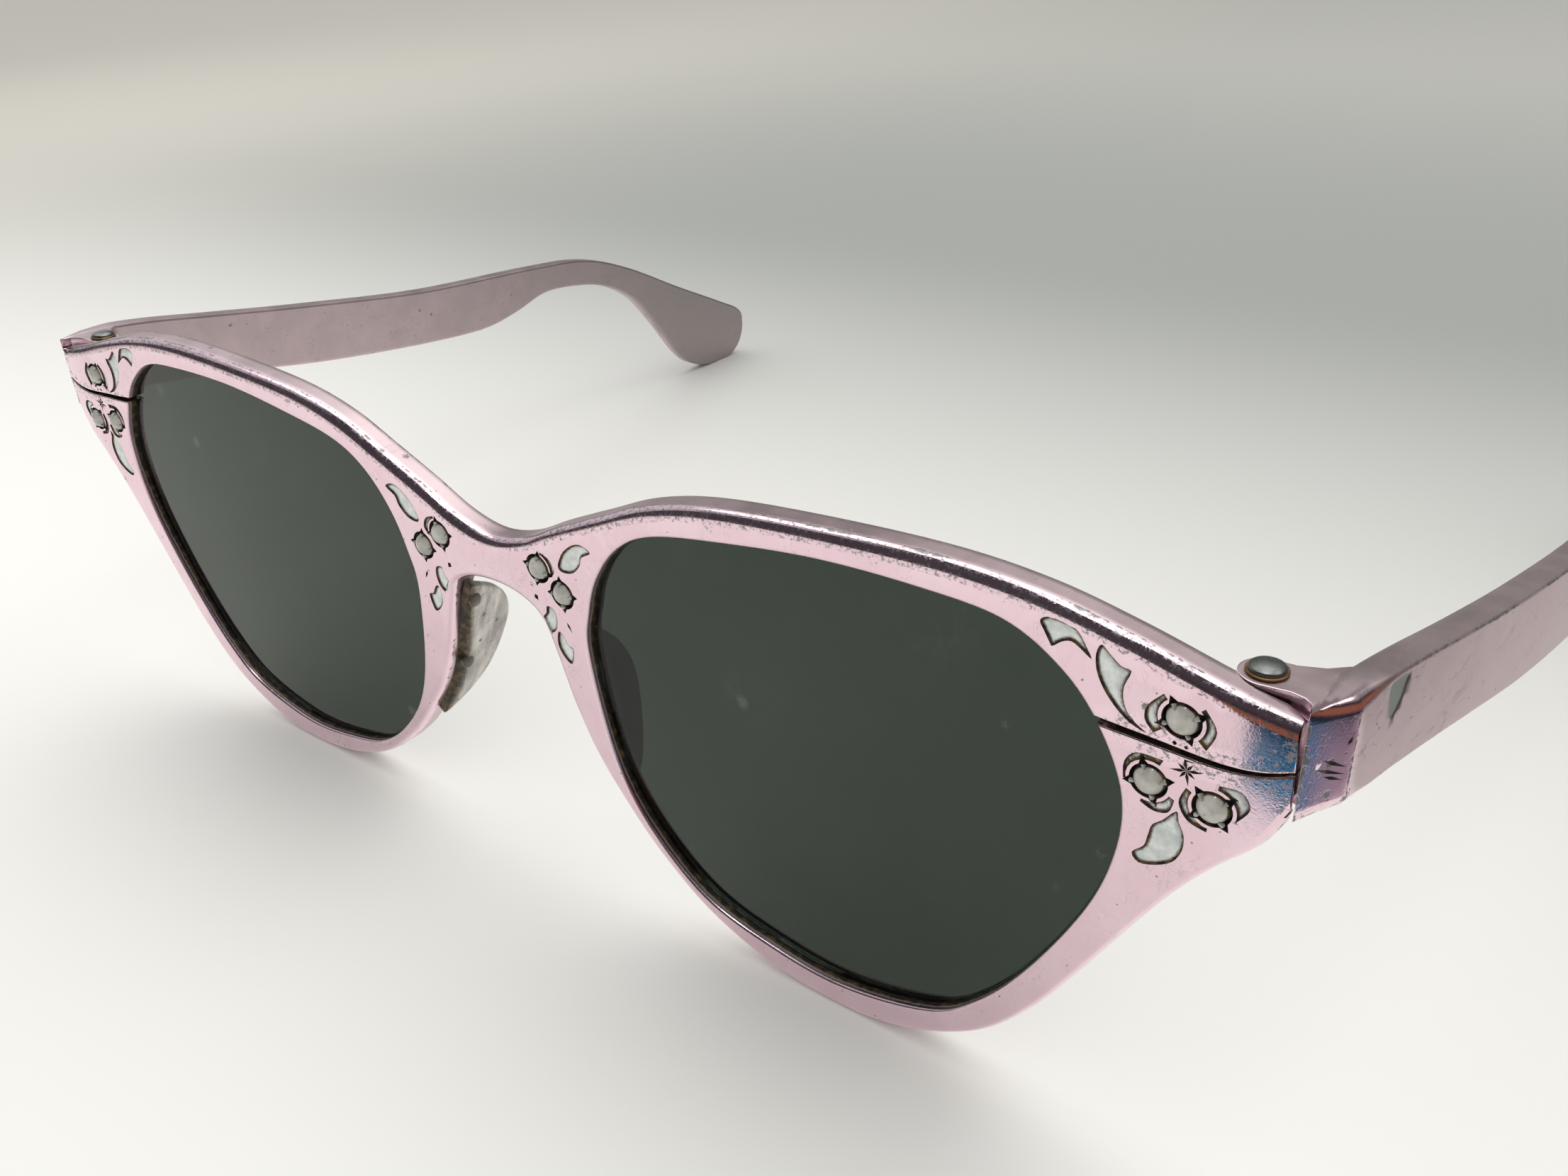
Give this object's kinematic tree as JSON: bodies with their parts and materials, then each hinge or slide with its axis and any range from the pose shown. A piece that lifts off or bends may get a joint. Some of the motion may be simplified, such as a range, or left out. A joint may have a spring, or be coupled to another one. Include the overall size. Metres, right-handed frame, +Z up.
{
  "type": "cat eye sunglasses",
  "caption": "Cat eye sunglasses with a flat pink metal front, set pearls and engraved leaves, tinted lenses, riveted nose pads and folding temples on screwed hinges.",
  "frame": {"origin": "middle of the footprint, on the surface that the rim bottoms and the temple tips rest on", "axes": "+Z up, -Y the way the lenses face, +Y along the temples, +X the wearer's left"},
  "size_m": [0.1548, 0.1275, 0.0428],
  "materials": {
    "pink_aluminium": "satin anodised with polished bevels",
    "bare_aluminium": "dull, uncoated",
    "green_glass": "polished",
    "pearl": "pearly gloss",
    "steel": "plain",
    "brass": "tarnished"
  },
  "bodies": {
    "front": {"front_frame": "pink_aluminium", "left_lens": "green_glass", "right_lens": "green_glass", "left_nose_pad": "bare_aluminium", "right_nose_pad": "bare_aluminium", "left_pad_rivets": "bare_aluminium", "right_pad_rivets": "bare_aluminium", "left_pearl_top": "pearl", "right_pearl_top": "pearl", "left_pearl_inner": "pearl", "right_pearl_inner": "pearl", "left_pearl_outer": "pearl", "right_pearl_outer": "pearl", "left_bridge_pearl_upper": "pearl", "right_bridge_pearl_upper": "pearl", "left_bridge_pearl_lower": "pearl", "right_bridge_pearl_lower": "pearl"},
    "left_temple": {"left_temple": "pink_aluminium", "left_hinge_barrel": "steel", "left_hinge_screw": "steel", "left_upper_washer": "brass", "left_lower_washer": "brass"},
    "right_temple": {"right_temple": "pink_aluminium", "right_hinge_barrel": "steel", "right_hinge_screw": "steel", "right_upper_washer": "brass", "right_lower_washer": "brass"}
  },
  "joints": [
    {"name": "left_hinge", "type": "hinge", "parent": "front", "child": "left_temple", "pos_m": [0.06305, -0.05995, 0.036], "axis": [0, 0, 1], "range_deg": [0, 94]},
    {"name": "right_hinge", "type": "hinge", "parent": "front", "child": "right_temple", "pos_m": [-0.06305, -0.05995, 0.036], "axis": [0, 0, -1], "range_deg": [0, 88]}
  ]
}
